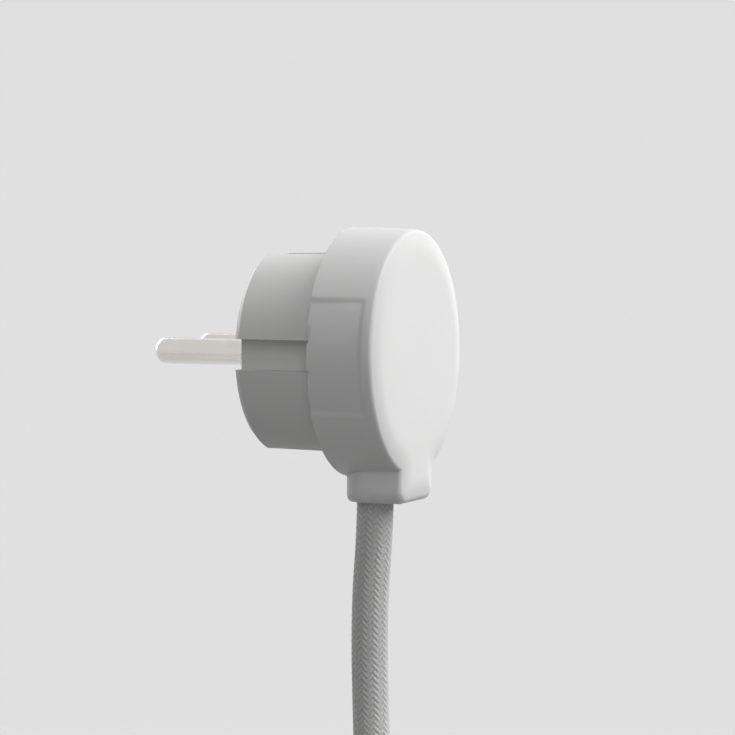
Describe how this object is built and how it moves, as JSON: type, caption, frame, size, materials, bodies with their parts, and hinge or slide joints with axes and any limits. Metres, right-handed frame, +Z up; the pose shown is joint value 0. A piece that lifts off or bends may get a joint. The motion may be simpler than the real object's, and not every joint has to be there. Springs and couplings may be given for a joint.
{
  "type": "earthed mains plug",
  "caption": "Flat round white mains plug with two round pins, side earth contacts, a squared cord tab and a braided cord.",
  "frame": {"origin": "midway between the two pins, on the face that the pins stand on", "axes": "+X to the right as seen from the room, +Y along the pins into the socket, +Z up, the cord leaves downwards"},
  "size_m": [0.055, 0.0801, 0.2713],
  "materials": {
    "cover_white": "satin",
    "carrier_white": "matte",
    "contact_nickel": "polished",
    "brass": "satin",
    "screw_steel": "satin",
    "clamp_grey": "matte",
    "core_brown": "satin",
    "core_blue": "satin",
    "core_green_yellow": "satin",
    "ferrule_tin": "satin",
    "braid_white": "woven",
    "tie_grey": "woven",
    "sleeve_white": "satin"
  },
  "bodies": {
    "root": {"front_cover": "cover_white", "contact_carrier": "carrier_white", "line_pin": "contact_nickel", "neutral_pin": "contact_nickel", "earth_bracket": "contact_nickel", "earth_socket": "contact_nickel", "earth_terminal": "brass", "threaded_insert": "brass", "line_terminal_screw": "screw_steel", "neutral_terminal_screw": "screw_steel", "earth_terminal_screw": "screw_steel", "cord_clamp": "clamp_grey", "clamp_screws": "screw_steel", "housing_screw": "screw_steel", "line_core": "core_brown", "neutral_core": "core_blue", "earth_core": "core_green_yellow", "line_ferrule": "ferrule_tin", "neutral_ferrule": "ferrule_tin", "earth_ferrule": "ferrule_tin", "cord": "braid_white", "cord_hank": "braid_white", "cord_tail": "braid_white", "cord_tie": "tie_grey", "end_sleeve": "sleeve_white", "end_line_core": "core_brown", "end_neutral_core": "core_blue", "end_earth_core": "core_green_yellow", "end_ferrules": "ferrule_tin"}
  },
  "joints": []
}
